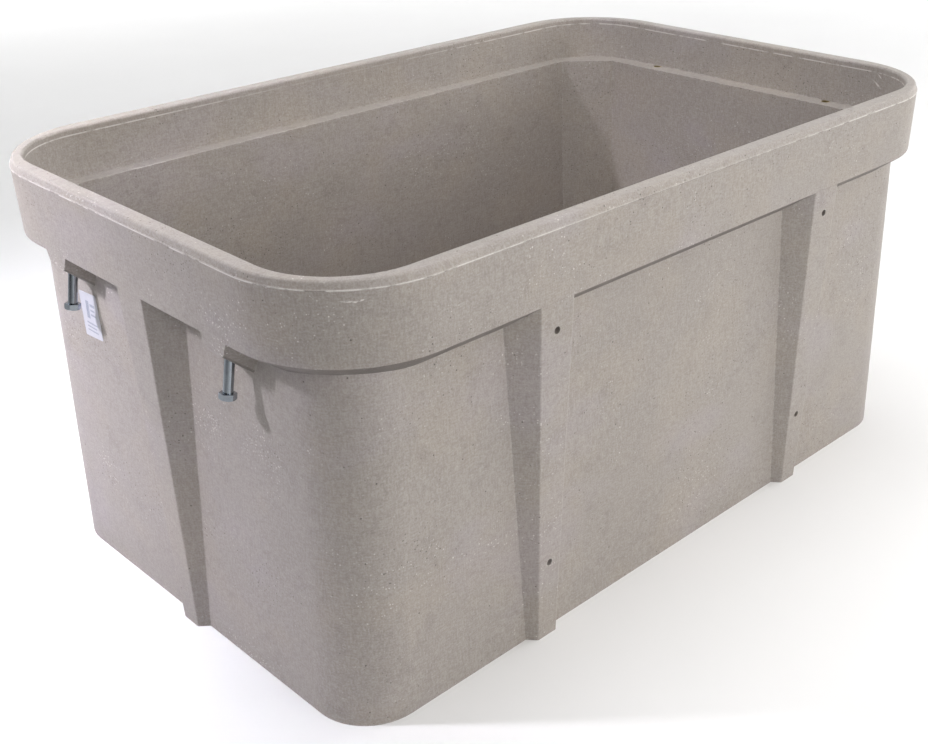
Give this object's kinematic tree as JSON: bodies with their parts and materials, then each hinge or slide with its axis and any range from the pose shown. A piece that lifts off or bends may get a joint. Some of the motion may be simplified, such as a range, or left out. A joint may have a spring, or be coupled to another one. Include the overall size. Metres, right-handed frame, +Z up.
{
  "type": "mortar mixing tub",
  "caption": "Deep rectangular moulded tub with a tall collar, inner cover ledge, outside stiffening ribs and captive hex bolts hanging under the collar.",
  "frame": {"origin": "centre of the underside of the tub, on the surface it stands on", "axes": "+X along the long side, +Y along the short side, +Z up out of the open top"},
  "size_m": [1.2712, 0.8052, 0.612],
  "materials": {
    "composite": "matt glass-fibre reinforced composite, warm grey with light specks",
    "zinc_steel": "bright zinc plate",
    "insert_metal": "machined",
    "sticker": null
  },
  "bodies": {
    "tub": {"tub_body": "composite", "threaded_insert_1": "insert_metal", "threaded_insert_2": "insert_metal", "threaded_insert_3": "insert_metal", "threaded_insert_4": "insert_metal", "label": "sticker"},
    "bolt_1": {"hex_bolt_1": "zinc_steel"},
    "bolt_2": {"hex_bolt_2": "zinc_steel"},
    "bolt_3": {"hex_bolt_3": "zinc_steel"},
    "bolt_4": {"hex_bolt_4": "zinc_steel"}
  },
  "joints": [
    {"name": "bolt_1_travel", "type": "slide", "parent": "tub", "child": "bolt_1", "axis": [0.1822, 0, 0.9833], "range_m": [0, 0.031]},
    {"name": "bolt_2_travel", "type": "slide", "parent": "tub", "child": "bolt_2", "axis": [0.1822, 0, 0.9833], "range_m": [0, 0.031]},
    {"name": "bolt_3_travel", "type": "slide", "parent": "tub", "child": "bolt_3", "axis": [-0.1822, 0, 0.9833], "range_m": [0, 0.031]},
    {"name": "bolt_4_travel", "type": "slide", "parent": "tub", "child": "bolt_4", "axis": [-0.1822, 0, 0.9833], "range_m": [0, 0.031]}
  ]
}
